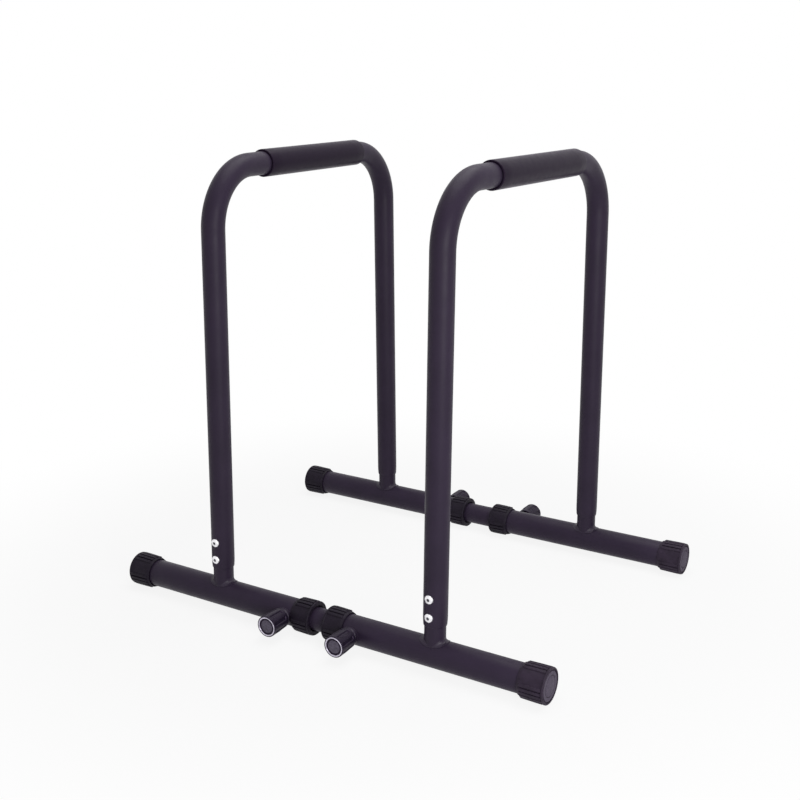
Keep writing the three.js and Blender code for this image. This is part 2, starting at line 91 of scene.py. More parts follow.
class DressSizes(bpy.types.PropertyGroup):
    bar_radius: bpy.props.FloatProperty(
        name="Bar radius", description="Outer radius of the bent hand bars",
        default=19 * MM, unit="LENGTH")
    bar_wall: bpy.props.FloatProperty(
        name="Bar wall", description="Wall of the hand bars",
        default=1.8 * MM, unit="LENGTH")
    bend_radius: bpy.props.FloatProperty(
        name="Bend radius", description="Radius of the bends, on the axis of the tube",
        default=97.3 * MM, unit="LENGTH")
    bar_height: bpy.props.FloatProperty(
        name="Bar height", description="Axis of the base tubes up to the axis of the hand bar",
        default=706.5 * MM, unit="LENGTH")
    leg_splay: bpy.props.FloatProperty(
        name="Leg splay", description="How much further out a leg stands at its foot than on top",
        default=13.3 * MM, unit="LENGTH")
    leg_lift: bpy.props.FloatProperty(
        name="Leg lift", description="Base axis up to the lower end of a leg",
        default=48 * MM, unit="LENGTH")
    rolled_end: bpy.props.FloatProperty(
        name="Rolled end", description="Length of a leg that is rolled in at its lower end",
        default=14 * MM, unit="LENGTH")
    rolled_depth: bpy.props.FloatProperty(
        name="Rolled depth", description="How much the lower end of a leg is rolled in",
        default=0.9 * MM, unit="LENGTH")
    base_radius: bpy.props.FloatProperty(
        name="Base radius", description="Outer radius of the base tubes",
        default=23 * MM, unit="LENGTH")
    base_wall: bpy.props.FloatProperty(
        name="Base wall", description="Wall of the base tubes",
        default=2 * MM, unit="LENGTH")
    stub_radius: bpy.props.FloatProperty(
        name="Stub radius", description="Outer radius of the stubs inside the legs",
        default=16.8 * MM, unit="LENGTH")
    leg_from_inner_end: bpy.props.FloatProperty(
        name="Leg from inner end", description="Inner end of a base tube to the leg it carries",
        default=190 * MM, unit="LENGTH")
    link_radius: bpy.props.FloatProperty(
        name="Link radius", description="Outer radius of the link tubes",
        default=19 * MM, unit="LENGTH")
    link_wall: bpy.props.FloatProperty(
        name="Link wall", description="Wall of the link tubes",
        default=2 * MM, unit="LENGTH")
    grip_radius: bpy.props.FloatProperty(
        name="Grip radius", description="Outer radius of the foam grips",
        default=22.6 * MM, unit="LENGTH")
    cap_radius: bpy.props.FloatProperty(
        name="Cap radius", description="Radius over the ribs of the caps and collars",
        default=28.5 * MM, unit="LENGTH")
    rib_height: bpy.props.FloatProperty(
        name="Rib height", description="How far a rib of a cap or collar stands out",
        default=1.5 * MM, unit="LENGTH")
    screw_head_radius: bpy.props.FloatProperty(
        name="Screw head radius", description="Radius of the round heads of the leg screws",
        default=7 * MM, unit="LENGTH")
    knob_radius: bpy.props.FloatProperty(
        name="Knob radius", description="Outer radius of the pull knobs",
        default=17.6 * MM, unit="LENGTH")
    knob_skirt_radius: bpy.props.FloatProperty(
        name="Knob skirt radius", description="Radius of a knob at its open end, over the boss",
        default=16.6 * MM, unit="LENGTH")
    knob_skirt_reach: bpy.props.FloatProperty(
        name="Knob skirt reach", description="How far the skirt of a knob reaches over the boss",
        default=9 * MM, unit="LENGTH")
    knob_ring_radius: bpy.props.FloatProperty(
        name="Knob ring radius", description="Outer radius of the ring in the face of a knob",
        default=16.2 * MM, unit="LENGTH")
    boss_radius: bpy.props.FloatProperty(
        name="Boss radius", description="Radius of the boss that carries a pull pin",
        default=12 * MM, unit="LENGTH")
    boss_reach: bpy.props.FloatProperty(
        name="Boss reach", description="Base axis out to the end of a boss",
        default=38 * MM, unit="LENGTH")
    bush_length: bpy.props.FloatProperty(
        name="Bush length", description="Sleeve of a collar inside its base tube",
        default=31 * MM, unit="LENGTH")


class DressColours(bpy.types.PropertyGroup):
    powder_coat: bpy.props.FloatVectorProperty(
        name="Powder coat", description="Satin coat of every tube",
        subtype="COLOR", size=3, min=0, max=1, default=(0.0285, 0.0190, 0.0385))
    foam: bpy.props.FloatVectorProperty(
        name="Foam", description="Closed-cell foam of the grips",
        subtype="COLOR", size=3, min=0, max=1, default=(0.0145, 0.0088, 0.0195))
    # Two tones of one moulded rubber: the darker one is painted shade on the collars and the left
    # caps, the paler one is painted light on the right caps, which face the lamp on the right
    rubber: bpy.props.FloatVectorProperty(
        name="Rubber", description="Moulded rubber of the collars and the left caps",
        subtype="COLOR", size=3, min=0, max=1, default=(0.0096, 0.0062, 0.0132))
    lit_side_rubber: bpy.props.FloatVectorProperty(
        name="Lit side rubber", description="Moulded rubber of the right caps",
        subtype="COLOR", size=3, min=0, max=1, default=(0.0280, 0.0190, 0.0340))
    plastic: bpy.props.FloatVectorProperty(
        name="Plastic", description="Moulded plastic of the knobs",
        subtype="COLOR", size=3, min=0, max=1, default=(0.0095, 0.0066, 0.0150))
    pad: bpy.props.FloatVectorProperty(
        name="Pad", description="Bare pad in the face of a knob",
        subtype="COLOR", size=3, min=0, max=1, default=(0.085, 0.072, 0.105))
    bright_steel: bpy.props.FloatVectorProperty(
        name="Bright steel", description="Zinc plating of screws, pins and rings",
        subtype="COLOR", size=3, min=0, max=1, default=(0.93, 0.92, 0.95))
    # Also painted shade on the socket floors of the screws
    dark_steel: bpy.props.FloatVectorProperty(
        name="Dark steel", description="Dark oxide of the pin housings and nuts",
        subtype="COLOR", size=3, min=0, max=1, default=(0.07, 0.07, 0.08))


class StageSettings(bpy.types.PropertyGroup):
    lens: bpy.props.FloatProperty(
        name="Lens", description="Focal length of the camera in millimetres",
        default=53.19, min=1)
    azimuth: bpy.props.FloatProperty(
        name="Azimuth", description="Direction from which the camera looks",
        default=math.radians(31.68), subtype="ANGLE")
    elevation: bpy.props.FloatProperty(
        name="Elevation", description="Height of the camera above the horizon",
        default=math.radians(15.89), subtype="ANGLE")
    distance: bpy.props.FloatProperty(
        name="Distance", description="Distance from the camera to the point it looks at",
        default=2.0644, unit="LENGTH")
    target: bpy.props.FloatVectorProperty(
        name="Target", description="The point that the camera looks at",
        subtype="TRANSLATION", size=3, default=(-0.02708, 0.00594, 0.3259))
    shadow_near: bpy.props.FloatProperty(
        name="Shadow near", description="How far from the middle the floor keeps its shadow",
        default=0.45, unit="LENGTH")
    shadow_far: bpy.props.FloatProperty(
        name="Shadow far", description="How far from the middle the floor turns plain white",
        default=1.1, unit="LENGTH")
    whiteness: bpy.props.FloatProperty(
        name="Whiteness", description="Share of plain white in the floor near the middle",
        default=0.87, min=0, max=1)
    surroundings: bpy.props.FloatProperty(
        name="Surroundings", description="Strength of the white light from all around",
        default=0.1, min=0)


def sizes():
    return bpy.context.scene.dip_station_sizes


def colours():
    return bpy.context.scene.dip_station_colours


def stage_settings():
    return bpy.context.scene.dip_station_stage


# Places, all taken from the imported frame

def base_axis(end, side):
    """A point on the axis of a base tube, at the middle of the station."""
    node = f"{end}_{side}_base"
    radius = sizes().base_radius
    inner_y = highest(node).y if end == "front" else lowest(node).y
    return Vector((0, inner_y + ENDS[end] * radius, lowest(node).z + radius))


def base_ends(end, side):
    """Distances from the middle of the station to the inner and outer end of a base tube."""
    low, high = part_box(f"{end}_{side}_base")
    reach = sorted((abs(low.x), abs(high.x)))
    return reach[0], reach[1]


def foot(end, side):
    point = base_axis(end, side)
    point.x = SIDES[side] * (base_ends(end, side)[0] + sizes().leg_from_inner_end)
    return point


def facing(direction, origin):
    """Local Z along a level direction, local Y up."""
    forward = Vector(direction).normalized()
    up = Vector((0, 0, 1))
    across = up.cross(forward)
    axes = Matrix((across, up, forward)).transposed().to_4x4()
    return Matrix.Translation(origin) @ axes


def bar_place(side):
    """The frame of a hand bar: local Y runs level from its front foot to its rear foot."""
    front, rear = foot("front", side), foot("rear", side)
    toe = math.atan2(front.x - rear.x, rear.y - front.y)
    return Matrix.Translation((front + rear) / 2) @ Matrix.Rotation(toe, 4, "Z")


def half_feet(side):
    return (foot("rear", side) - foot("front", side)).length / 2


def leg_lean():
    return math.atan2(sizes().leg_splay, sizes().bar_height)


def leg_place(end, side):
    """Local Z up the leg from the base axis, local minus Y out of the station."""
    lean = Matrix.Rotation(ENDS[end] * leg_lean(), 4, "X")
    quarter = Matrix.Rotation(0 if end == "front" else math.pi, 4, "Z")
    shift = Matrix.Translation((0, ENDS[end] * half_feet(side), 0))
    return bar_place(side) @ shift @ lean @ quarter


def pin_place(end, side):
    """Local Z out of the station along a pull pin, from the base axis, local Y up."""
    low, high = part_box(f"{end}_{side}_knob")
    point = base_axis(end, side)
    point.x = (low.x + high.x) / 2
    return facing((0, ENDS[end], 0), point)


# Modelling tools

def pick(obj):
    """Selects one object alone and makes it the active one."""
    bpy.ops.object.select_all(action="DESELECT")
    obj.select_set(True)
    bpy.context.view_layer.objects.active = obj


def edit(obj):
    pick(obj)
    bpy.ops.object.mode_set(mode="EDIT")


def leave_edit():
    bpy.ops.object.mode_set(mode="OBJECT")


def start_ring(name, radius, height, sides):
    """A round of edges about local Z, left selected in edit mode."""
    bpy.ops.object.select_all(action="DESELECT")
    bpy.ops.mesh.primitive_circle_add(vertices=sides, radius=radius, fill_type="NOTHING")
    obj = bpy.context.object
    obj.name = name
    obj.data.name = name
    bpy.ops.object.mode_set(mode="EDIT")
    bpy.ops.mesh.select_mode(type="EDGE")
    bpy.ops.mesh.select_all(action="SELECT")
    bpy.ops.transform.translate(value=(0, 0, height))
    return obj


def next_ring(last, radius, height):
    """Extrudes the selected round to another radius and height."""
    rise = {"value": (0, 0, height - last[1])}
    bpy.ops.mesh.extrude_region_move(TRANSFORM_OT_translate=rise)
    if radius != last[0]:
        grow = radius / last[0]
        bpy.ops.transform.resize(value=(grow, grow, 1), center_override=(0, 0, height))


def turned(name, profile, sides, ends="open"):
    """A turned piece with a round of edges at each (radius, height).

    Its two open ends are left open, filled, or bridged with each other.
    """
    obj = start_ring(name, profile[0][0], profile[0][1], sides)
    for last, (radius, height) in zip(profile, profile[1:]):
        next_ring(last, radius, height)
    if ends != "open":
        bpy.ops.mesh.select_all(action="DESELECT")
        bpy.ops.mesh.select_non_manifold()
        if ends == "filled":
            bpy.ops.mesh.fill_holes(sides=0)
        else:
            bpy.ops.mesh.bridge_edge_loops()
    bpy.ops.mesh.select_all(action="SELECT")
    bpy.ops.mesh.normals_make_consistent(inside=False)
    leave_edit()
    return obj


def select_faces(obj, wanted):
    """Selects the faces of the piece in edit mode whose centre and normal are wanted."""
    bpy.ops.mesh.select_mode(type="FACE")
    bpy.ops.mesh.select_all(action="DESELECT")
    mesh = bmesh.from_edit_mesh(obj.data)
    for face in mesh.faces:
        if wanted(face.calc_center_median(), face.normal):
            face.select_set(True)
    bmesh.update_edit_mesh(obj.data)


def faces_within(obj, radius, low, high=math.inf):
    """Faces of a piece whose middles lie within a radius of local Z and between two heights."""
    return [face.index for face in obj.data.polygons
            if math.hypot(face.center.x, face.center.y) < radius and low < face.center.z < high]


def modifier(obj, name, kind, **settings):
    """Adds a modifier and applies it."""
    pick(obj)
    added = obj.modifiers.new(name, kind)
    for key, value in settings.items():
        setattr(added, key, value)
    bpy.ops.object.modifier_apply(modifier=name)


def soften(obj, width, angle):
    """Rounds every edge sharper than the angle."""
    modifier(obj, "Rounded edges", "BEVEL", width=width, segments=2,
             limit_method="ANGLE", angle_limit=math.radians(angle), use_clamp_overlap=True)


def cut(obj, cutter):
    """Cuts one piece out of another and throws it away."""
    modifier(obj, "Cut", "BOOLEAN", object=cutter, operation="DIFFERENCE", solver="EXACT")
    discard(cutter)


def smooth(obj, angle=32):
    """Shades a piece smooth, but for edges sharper than the angle."""
    pick(obj)
    bpy.ops.object.shade_smooth_by_angle(angle=math.radians(angle))


def settle(obj, place):
    """Moves a piece to its place and puts that place in its mesh."""
    pick(obj)
    obj.matrix_world = place
    bpy.ops.object.transform_apply(location=True, rotation=True, scale=True)


def copy_of(pattern, name):
    """A copy of a piece, with a mesh of its own."""
    pick(pattern)
    bpy.ops.object.duplicate(linked=False)
    made = bpy.context.object
    made.name = name
    made.data.name = name
    return made


def discard(obj):
    pick(obj)
    bpy.ops.object.delete()


def dress(obj, finish, slot, body, *nodes):
    """Gives a piece its finish by name, its body and the CAD nodes it stands for. The slot is not
    used.
    """
    obj.data.materials.clear()
    obj.data.materials.append(finish_of(finish))
    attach(obj, body)
    if nodes:
        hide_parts(*nodes)


def inlay(obj, finish, faces):
    """Gives some faces of a dressed piece a finish of their own, by name."""
    obj.data.materials.append(finish_of(finish))
    for index in faces:
        obj.data.polygons[index].material_index = 1


def arc(centre, radius, start, stop, steps):
    """Points of (radius, height) along an arc, with angles in degrees from straight outwards."""
    points = []
    for step in range(steps + 1):
        angle = math.radians(start + (stop - start) * step / steps)
        points.append((centre[0] + radius * math.cos(angle), centre[1] + radius * math.sin(angle)))
    return points


# Finishes

# Where nearly all values of a noise lie
NOISE_SPAN = (0.3, 0.7)


class Finish:
    """A node material under way: its shader, its pattern coordinates and a growing bump."""

    def __init__(self, name, colour, roughness, metallic=0.0, specular=0.5):
        self.material = bpy.data.materials.new(name)
        self.material.use_nodes = True
        self.nodes = self.material.node_tree.nodes
        self.links = self.material.node_tree.links
        self.shader = self.nodes["Principled BSDF"]
        self.shader.inputs["Metallic"].default_value = metallic
        self.shader.inputs["Specular IOR Level"].default_value = specular
        self.shader.inputs["Roughness"].default_value = roughness
        self.shader.inputs["Base Color"].default_value = (*colour, 1)
        self.colour = colour
        self.place = self.nodes.new("ShaderNodeTexCoord").outputs["Object"]
        self.normal = None

    def noise(self, size, detail):
        """Noise with features of this size in metres."""
        node = self.nodes.new("ShaderNodeTexNoise")
        node.inputs["Scale"].default_value = 1 / size
        node.inputs["Detail"].default_value = detail
        self.links.new(self.place, node.inputs["Vector"])
        return node.outputs["Fac"]

    def cells(self, size):
        """Cells of this size in metres."""
        node = self.nodes.new("ShaderNodeTexVoronoi")
        node.inputs["Scale"].default_value = 1 / size
        self.links.new(self.place, node.inputs["Vector"])
        return node.outputs["Distance"]

    def vary_colour(self, value, darker, lighter):
        """Runs the base colour from a darker to a lighter share of itself."""
        ramp = self.nodes.new("ShaderNodeValToRGB")
        for stop, position, share in zip(ramp.color_ramp.elements, NOISE_SPAN, (darker, lighter)):
            stop.position = position
            stop.color = (*(c * share for c in self.colour), 1)
        self.links.new(value, ramp.inputs["Fac"])
        self.links.new(ramp.outputs["Color"], self.shader.inputs["Base Color"])

    def vary_roughness(self, value, low, high):
        """Runs the roughness from low to high."""
        node = self.nodes.new("ShaderNodeMapRange")
        node.inputs["From Min"].default_value, node.inputs["From Max"].default_value = NOISE_SPAN
        node.inputs["To Min"].default_value = low
        node.inputs["To Max"].default_value = high
        self.links.new(value, node.inputs["Value"])
        self.links.new(node.outputs["Result"], self.shader.inputs["Roughness"])

    def emboss(self, value, depth, strength=1.0):
        """Adds relief of this depth in metres."""
        node = self.nodes.new("ShaderNodeBump")
        node.inputs["Strength"].default_value = strength
        node.inputs["Distance"].default_value = depth
        self.links.new(value, node.inputs["Height"])
        if self.normal:
            self.links.new(self.normal, node.inputs["Normal"])
        self.normal = node.outputs["Normal"]
        self.links.new(self.normal, self.shader.inputs["Normal"])


FINISHES = {}


def powder_coat_finish():
    """Satin powder coat: orange peel, fine grain and a slow drift of tone."""
    finish = Finish("Satin powder coat", colours().powder_coat, 0.44, specular=0.15)
    finish.vary_colour(finish.noise(60 * MM, 3), 0.9, 1.12)
    finish.vary_roughness(finish.noise(18 * MM, 4), 0.39, 0.49)
    finish.emboss(finish.noise(1.6 * MM, 2), 0.10 * MM, 0.5)
    finish.emboss(finish.noise(0.35 * MM, 1), 0.03 * MM, 0.6)
    return finish.material


def weld_finish():
    """The same powder coat over a weld, with the lumps of the bead under it."""
    finish = Finish("Powder coated weld", colours().powder_coat, 0.4, specular=0.27)
    finish.vary_colour(finish.noise(20 * MM, 3), 0.9, 1.12)
    finish.vary_roughness(finish.noise(6 * MM, 4), 0.35, 0.45)
    finish.emboss(finish.noise(3.2 * MM, 2), 0.5 * MM, 0.7)
    finish.emboss(finish.noise(0.8 * MM, 2), 0.06 * MM, 0.6)
    return finish.material


def foam_finish():
    """Closed-cell foam: fine open pores on a soft skin."""
    finish = Finish("Closed-cell foam", colours().foam, 0.36, specular=0.07)
    finish.shader.inputs["Specular Tint"].default_value = (0.88, 0.66, 1.0, 1)
    finish.shader.inputs["Sheen Weight"].default_value = 0.12
    finish.shader.inputs["Sheen Roughness"].default_value = 0.25
    finish.shader.inputs["Sheen Tint"].default_value = (0.78, 0.6, 1.0, 1)
    finish.vary_colour(finish.noise(5 * MM, 4), 0.94, 1.08)
    finish.vary_roughness(finish.noise(8 * MM, 3), 0.33, 0.41)
    finish.emboss(finish.cells(0.6 * MM), 0.025 * MM, 0.12)
    finish.emboss(finish.noise(4 * MM, 3), 0.06 * MM, 0.2)
    return finish.material


def rubber_finish(name, colour):
    """Moulded rubber: fine grain and slightly duller patches."""
    finish = Finish(name, colour, 0.6, specular=0.16)
    finish.vary_colour(finish.noise(12 * MM, 4), 0.85, 1.35)
    finish.vary_roughness(finish.noise(5 * MM, 4), 0.5, 0.68)
    finish.emboss(finish.noise(0.5 * MM, 2), 0.05 * MM, 0.6)
    return finish.material


def cap_face_finish(name, colour):
    """The face of a cap: the same rubber, duller and paler; the paleness is partly its
    spark-eroded matt face and partly painted light from the lamp on the right.
    """
    # Paler than the rubber: partly the matt face, partly painted light where the lamp on the right
    # falls on the right caps
    paler = [value * share for value, share in zip(colour, (2.8, 3.3, 2.75))]
    finish = Finish(name, paler, 0.7, specular=0.2)
    finish.vary_colour(finish.noise(3 * MM, 4), 0.8, 1.25)
    finish.vary_roughness(finish.noise(2 * MM, 3), 0.62, 0.76)
    finish.emboss(finish.noise(0.4 * MM, 2), 0.06 * MM, 0.7)
    return finish.material


def plastic_finish():
    """Moulded plastic with a spark-eroded grain."""
    finish = Finish("Moulded plastic", colours().plastic, 0.42, specular=0.2)
    finish.shader.inputs["Specular Tint"].default_value = (0.86, 0.62, 1.0, 1)
    finish.vary_roughness(finish.noise(3 * MM, 3), 0.36, 0.5)
    finish.vary_colour(finish.noise(6 * MM, 3), 0.9, 1.2)
    finish.emboss(finish.noise(0.3 * MM, 2), 0.04 * MM, 0.5)
    return finish.material


def knob_face_finish():
    """The bare pad inside the ring of a knob: paler plastic with a coarse grain."""
    finish = Finish("Knob face pad", colours().pad, 0.55, specular=0.3)
    finish.vary_colour(finish.noise(3.5 * MM, 3), 0.7, 1.4)
    finish.vary_roughness(finish.noise(2 * MM, 3), 0.45, 0.65)
    finish.emboss(finish.noise(0.4 * MM, 2), 0.05 * MM, 0.6)
    return finish.material


def bright_steel_finish():
    """Zinc plating: bright, with faint drawn lines and cloudy gloss."""
    finish = Finish("Zinc plated steel", colours().bright_steel, 0.3, metallic=0.85)
    finish.vary_colour(finish.noise(1.5 * MM, 3), 0.88, 1.08)
    finish.vary_roughness(finish.noise(2 * MM, 4), 0.2, 0.36)
    finish.emboss(finish.noise(0.25 * MM, 1), 0.01 * MM, 0.4)
    return finish.material


def ring_finish():
    """The knob rings: the same plating, brushed and greyer."""
    greyer = [value * share for value, share in zip(colours().bright_steel, (0.60, 0.57, 0.65))]
    finish = Finish("Brushed ring steel", greyer, 0.34, metallic=0.85)
    finish.vary_colour(finish.noise(4 * MM, 3), 0.75, 1.25)
    finish.vary_roughness(finish.noise(1.5 * MM, 4), 0.26, 0.42)
    finish.emboss(finish.noise(0.25 * MM, 1), 0.01 * MM, 0.4)
    return finish.material


def dark_steel_finish():
    """Dark oxide on turned steel: fine turning marks."""
    # Also laid on the socket floors of the screws, as painted shade
    finish = Finish("Dark oxide steel", colours().dark_steel, 0.42, metallic=0.85)
    finish.vary_colour(finish.noise(3 * MM, 3), 0.8, 1.25)
    finish.vary_roughness(finish.noise(2 * MM, 3), 0.34, 0.5)
    finish.emboss(finish.noise(0.3 * MM, 1), 0.015 * MM, 0.5)
    return finish.material


MAKERS = {
    "powder_coat": powder_coat_finish,
    "weld": weld_finish,
    "grip_foam": foam_finish,
    # The cap rubber and its face come as a darker copy, painted shade, and a paler copy, painted
    # light from the lamp on the right
    "cap_rubber": lambda: rubber_finish("Moulded rubber", colours().rubber),
    "cap_face": lambda: cap_face_finish("Moulded rubber face", colours().rubber),
    "lit_side_cap_rubber": lambda: rubber_finish("Lit side moulded rubber", colours().lit_side_rubber),
    "lit_side_cap_face": lambda: cap_face_finish("Lit side moulded rubber face", colours().lit_side_rubber),
    "knob_plastic": plastic_finish,
    "knob_face": knob_face_finish,
    "bright_steel": bright_steel_finish,
    "ring_steel": ring_finish,
    "dark_steel": dark_steel_finish,
}


def finish_of(name):
    """A finish by name, made when it is first asked for."""
    if name not in FINISHES:
        FINISHES[name] = MAKERS[name]()
    return FINISHES[name]


# Moulded rubber, as the caps and collars share it

# A rib runs from this far inside the open edge to this far short of the closed end
RIB_START = 4.5 * MM
RIB_STOP = 3.8 * MM
RIB_PITCH = math.radians(14.4)
# Middles of the three groups of ribs, a third of a turn apart to the nearest side
RIB_GROUPS = [math.radians(90), math.radians(-28.8), math.radians(208.8)]
# The outermost rib of a group, counted from its middle one, and half a rib's width by the pitch
OUTER_RIB = 2
RIB_SHARE = 0.34
RIB_EDGE = 0.4 * MM
RIB_ROUNDING = 0.3 * MM
GROOVE_DEPTH = 1.1 * MM


def open_edge(bore):
    """Rounds of the bore where it flares out at the open edge of a cap or collar."""
    return [(bore, 3 * MM), (bore + 1.35 * MM, 0), (bore + 1.6 * MM, 0)]


def ribbed_outline(length):
    """Rounds of a cap or collar from its open edge over the rim of its closed end."""
    skin = sizes().cap_radius - sizes().rib_height
    rim = sizes().cap_radius - 0.3 * MM
    rounds = [
        (skin - 2.0 * MM, 1.4 * MM), (skin - 1.1 * MM, 3.0 * MM), (skin - 0.6 * MM, RIB_START),
        (skin - 0.4 * MM, length * 0.3), (skin - 0.1 * MM, length * 0.6),
        (skin, length - RIB_STOP), (rim, length - RIB_STOP + 0.9 * MM)]
    return rounds + arc((rim - 1.6 * MM, length - 1.6 * MM), 1.6 * MM, 0, 90, 5)


def raise_ribs(obj, length):
    """Sinks the grooves of three groups of five ribs, raises the ribs and rounds both."""

    def ribbed(centre, normal, on_rib):
        away = math.hypot(centre.x, centre.y)
        along = RIB_START < centre.z < length - RIB_STOP
        if away < sizes().base_radius + 1.5 * MM or abs(normal.z) > 0.5 or not along:
            return False
        for middle in RIB_GROUPS:
            angle = math.remainder(math.atan2(centre.y, centre.x) - middle, 2 * math.pi)
            rib = round(angle / RIB_PITCH)
            near = abs(angle - rib * RIB_PITCH) < RIB_PITCH * RIB_SHARE
            if on_rib and abs(rib) <= OUTER_RIB and near:
                return True
            if not on_rib and abs(angle) < OUTER_RIB * RIB_PITCH and not near:
                return True
        return False

    edit(obj)
    select_faces(obj, lambda centre, normal: ribbed(centre, normal, False))
    bpy.ops.mesh.inset(thickness=0.05 * MM, depth=-GROOVE_DEPTH, use_even_offset=True)
    select_faces(obj, lambda centre, normal: ribbed(centre, normal, True))
    bpy.ops.mesh.inset(thickness=RIB_EDGE, depth=sizes().rib_height, use_even_offset=True)
    bpy.ops.mesh.select_all(action="DESELECT")
    leave_edit()
    soften(obj, RIB_ROUNDING, angle=25)


def stand(obj):
    """Presses what would reach below the floor flat onto it."""
    edit(obj)
    bpy.ops.mesh.select_mode(type="VERT")
    bpy.ops.mesh.select_all(action="DESELECT")
    mesh = bmesh.from_edit_mesh(obj.data)
    for vertex in mesh.verts:
        vertex.select_set(vertex.co.z < 0)
    mesh.select_flush_mode()
    bmesh.update_edit_mesh(obj.data)
    if any(v.select for v in mesh.verts):
        bpy.ops.transform.resize(value=(1, 1, 0), center_override=(0, 0, 0))
    leave_edit()


def seat_rubber(pattern, name, place, finish, side, node):
    """Puts a copy of a moulded cap or collar in its place, pressed flat where it stands."""
    moulded = copy_of(pattern, name)
    settle(moulded, place)
    stand(moulded)
    smooth(moulded, 38)
    dress(moulded, finish, "cap_rubber", f"{side}_frame", node)
    return moulded


# Operators

class DIPSTATION_OT_frame_finishes(bpy.types.Operator):
    """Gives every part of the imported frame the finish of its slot"""
    bl_idname = "dip_station.frame_finishes"
    bl_label = "Frame finishes"

    def execute(self, context):
        for row in frame["record"]["subparts"]:
            node = frame["nodes"][row["node"]]
            node.data.materials.clear()
            node.data.materials.append(finish_of(row["material_slot"]))
        return {"FINISHED"}


class DIPSTATION_OT_hand_bars(bpy.types.Operator):
    """Bends the two hand bars out of tube, with their lower ends rolled in"""
    bl_idname = "dip_station.hand_bars"
    bl_label = "Hand bars"

    bend_steps = 24
    end_rounding = 0.5 * MM

    def execute(self, context):
        for side in SIDES:
            self.bend(side)
        return {"FINISHED"}

    def bend(self, side):
        s = sizes()
        turn = math.pi / 2 - leg_lean()
        tangent = s.bend_radius * math.tan(turn / 2)
        straight = s.bar_height / math.cos(leg_lean()) - tangent
        across = 2 * (half_feet(side) - s.leg_splay - tangent)
        lip, roll, rise = s.leg_lift, s.rolled_depth, s.rolled_end
        # Rounds from the lower end of a leg up over its rolled part
        lower = [
            (s.bar_radius - roll, lip),
            (s.bar_radius - 0.6 * roll, lip + 0.2 * rise),
            (s.bar_radius - 0.2 * roll, lip + 0.6 * rise),
            (s.bar_radius, lip + rise),
        ]
        bar = start_ring(f"{side}_hand_bar", *lower[0], TUBE_SIDES)
        for last, (radius, height) in zip(lower, lower[1:]):
            next_ring(last, radius, height)
        next_ring(lower[-1], s.bar_radius, straight)
        bend = {"steps": self.bend_steps, "angle": turn, "axis": (1, 0, 0)}
        bpy.ops.mesh.spin(center=(0, s.bend_radius, straight), **bend)
        level = Vector((0, math.sin(turn), math.cos(turn)))
        bpy.ops.mesh.extrude_region_move(TRANSFORM_OT_translate={"value": level * across})
        corner = Vector((0, s.bend_radius, straight)) + level * across
        bpy.ops.mesh.spin(center=corner, **bend)
        down = Vector((0, math.sin(2 * turn), math.cos(2 * turn)))
        run = straight - lip - rise
        bpy.ops.mesh.extrude_region_move(TRANSFORM_OT_translate={"value": down * run})
        end = self.middle_of_selected(bar)
        for (radius, height), (last, below) in zip(lower[-2::-1], lower[:0:-1]):
            step = down * (below - height)
            bpy.ops.mesh.extrude_region_move(TRANSFORM_OT_translate={"value": step})
            end = end + step
            grow = radius / last
            bpy.ops.transform.resize(value=(grow, grow, grow), center_override=end)
        bpy.ops.mesh.select_all(action="SELECT")
        bpy.ops.mesh.remove_doubles(threshold=0.01 * MM)
        bpy.ops.mesh.normals_make_consistent(inside=False)
        leave_edit()
        modifier(bar, "Wall", "SOLIDIFY", thickness=s.bar_wall, offset=-1)
        soften(bar, self.end_rounding, angle=50)
        smooth(bar)
        settle(bar, leg_place("front", side))
        dress(bar, "powder_coat", "powder_coat", f"{side}_frame", f"{side}_u_bar")

    def middle_of_selected(self, obj):
        mesh = bmesh.from_edit_mesh(obj.data)
        chosen = [v.co for v in mesh.verts if v.select]
        return sum(chosen, Vector()) / len(chosen)


class DIPSTATION_OT_grips(bpy.types.Operator):
    """Slides a foam sleeve onto each hand bar"""
    bl_idname = "dip_station.grips"
    bl_label = "Foam grips"

    outer_rounding = 1.4 * MM
    sleeve_sides = 72

    def execute(self, context):
        s = sizes()
        edge = self.outer_rounding
        for side in SIDES:
            low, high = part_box(f"{side}_grip")
            middle = (low + high) / 2
            half = (high.y - low.y) / 2
            bore = s.bar_radius + PLAY
            profile = [(bore, -half + 0.4 * MM), (bore + 0.5 * MM, -half)]
            profile += arc((s.grip_radius - edge, -half + edge), edge, -90, 0, 4)
            profile += [(s.grip_radius, half * share)
                        for share in (-0.8, -0.5, -0.2, 0.2, 0.5, 0.8)]
            profile += arc((s.grip_radius - edge, half - edge), edge, 0, 90, 4)
            profile += [(bore + 0.5 * MM, half), (bore, half - 0.4 * MM)]
            sleeve = turned(f"{side}_foam_grip", profile, self.sleeve_sides, ends="bridged")
            smooth(sleeve, 40)
            along = bar_place(side).to_3x3() @ Vector((0, 1, 0))
            settle(sleeve, facing(along, middle))
            dress(sleeve, "grip_foam", "grip_foam", f"{side}_frame", f"{side}_grip")
        return {"FINISHED"}


